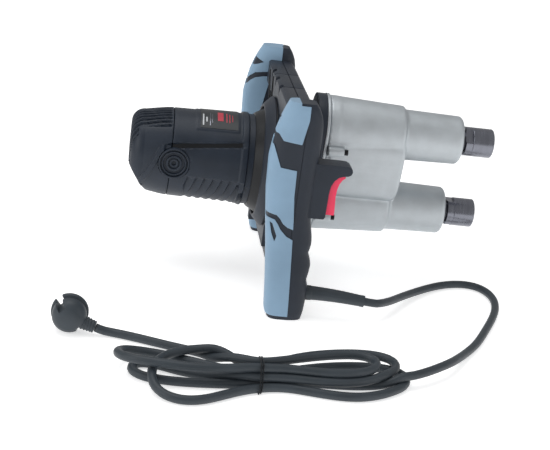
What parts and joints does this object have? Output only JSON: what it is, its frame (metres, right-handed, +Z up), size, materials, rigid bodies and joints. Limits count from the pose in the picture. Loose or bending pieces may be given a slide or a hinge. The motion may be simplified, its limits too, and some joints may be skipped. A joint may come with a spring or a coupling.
{
  "type": "twin-spindle mixing machine",
  "caption": "Hand-held electric mixing machine with a ring handle, two grips, a cast gearbox and twin counter-rotating spindles, with mains cord and plug.",
  "frame": {"origin": "on the floor under the middle of the tool's box, free cord left out", "axes": "+X along the motor axis toward the spindle noses, +Y from the trigger grip to the far grip, +Z up along the grips"},
  "size_m": [0.5164, 0.546, 0.241],
  "materials": {
    "housing_plastic": "fine spark-eroded black, slightly blue",
    "frame_plastic": "charcoal moulding, fine grain",
    "grip_rubber_blue": "soft light-blue overmould, matt",
    "trigger_red": "smooth signal red",
    "cast_aluminium": "blasted die casting, satin",
    "turned_steel": "turned, lightly oiled",
    "gear_steel": "ground and hardened",
    "black_steel": "blackened",
    "copper_wire": "enamelled copper",
    "carbon": "pressed carbon",
    "nickelled_brass": "nickel plated",
    "label_print": null,
    "cord_rubber": "charcoal rubber sheath, satin"
  },
  "bodies": {
    "machine": {"motor_housing": "housing_plastic", "rear_cap": "housing_plastic", "brush_cap_near": "housing_plastic", "brush_cap_far": "housing_plastic", "switch_body": "housing_plastic", "bearing_shield": "housing_plastic", "frame_rear": "frame_plastic", "frame_front": "frame_plastic", "hub_cone": "frame_plastic", "trigger_guard": "frame_plastic", "grip_panel_near": "grip_rubber_blue", "grip_panel_far": "grip_rubber_blue", "gearbox_housing": "cast_aluminium", "gearbox_cover": "cast_aluminium", "spindle_bearing_rear_upper": "turned_steel", "spindle_bearing_rear_lower": "turned_steel", "spindle_bearing_front_upper": "turned_steel", "spindle_bearing_front_lower": "turned_steel", "rear_bearing": "turned_steel", "front_bearing": "turned_steel", "trigger_spring": "turned_steel", "stator_core": "gear_steel", "gearbox_screw_near_upper": "black_steel", "gearbox_screw_near_lower": "black_steel", "gearbox_screw_far_upper": "black_steel", "gearbox_screw_far_lower": "black_steel", "cord_tie": "black_steel", "field_coil_upper": "copper_wire", "field_coil_lower": "copper_wire", "carbon_brush_near": "carbon", "carbon_brush_far": "carbon", "brush_holder_near": "nickelled_brass", "brush_holder_far": "nickelled_brass", "plug_pin_left": "nickelled_brass", "plug_pin_right": "nickelled_brass", "label_plate": "label_print", "strain_relief": "cord_rubber", "cord_tube": "cord_rubber", "cord_tail": "cord_rubber", "cord_hank": "cord_rubber", "plug_body": "cord_rubber", "oil_seal_upper": "cord_rubber", "oil_seal_lower": "cord_rubber"},
    "rotor": {"rotor_shaft": "gear_steel", "rotor_core": "gear_steel", "commutator": "copper_wire", "cooling_fan": "housing_plastic"},
    "layshaft_upper_set": {"layshaft_upper": "gear_steel", "input_gear": "gear_steel", "transfer_gear_upper": "gear_steel"},
    "layshaft_lower_set": {"layshaft_lower": "gear_steel", "transfer_gear_lower": "gear_steel"},
    "spindle_upper_set": {"spindle_upper": "turned_steel", "spindle_gear_upper": "gear_steel"},
    "spindle_lower_set": {"spindle_lower": "turned_steel", "spindle_gear_lower": "gear_steel"},
    "trigger_button": {"trigger": "trigger_red"}
  },
  "joints": [
    {"name": "rotor_spin", "type": "hinge", "parent": "machine", "child": "rotor", "pos_m": [-0.107, 0, 0.132], "axis": [1, 0, 0], "continuous": true},
    {"name": "layshaft_upper_spin", "type": "hinge", "parent": "machine", "child": "layshaft_upper_set", "pos_m": [0.033, -0.00788, 0.15006], "axis": [1, 0, 0], "continuous": true},
    {"name": "layshaft_lower_spin", "type": "hinge", "parent": "machine", "child": "layshaft_lower_set", "pos_m": [0.033, 0.00241, 0.11244], "axis": [1, 0, 0], "continuous": true},
    {"name": "spindle_upper_spin", "type": "hinge", "parent": "machine", "child": "spindle_upper_set", "pos_m": [0.124, -0.00438, 0.18212], "axis": [1, 0, 0], "continuous": true},
    {"name": "spindle_lower_spin", "type": "hinge", "parent": "machine", "child": "spindle_lower_set", "pos_m": [0.124, 0.02174, 0.08663], "axis": [1, 0, 0], "continuous": true},
    {"name": "trigger_pull", "type": "slide", "parent": "machine", "child": "trigger_button", "axis": [-1, 0, 0], "range_m": [0, 0.006], "stiffness_N_per_m": 400, "springref_m": -0.005}
  ],
  "couplings": [
    {"joint": "layshaft_upper_spin", "follows": "rotor_spin", "ratio": -0.18182},
    {"joint": "layshaft_lower_spin", "follows": "rotor_spin", "ratio": 0.18182},
    {"joint": "spindle_upper_spin", "follows": "rotor_spin", "ratio": 0.041558},
    {"joint": "spindle_lower_spin", "follows": "rotor_spin", "ratio": -0.041558}
  ]
}
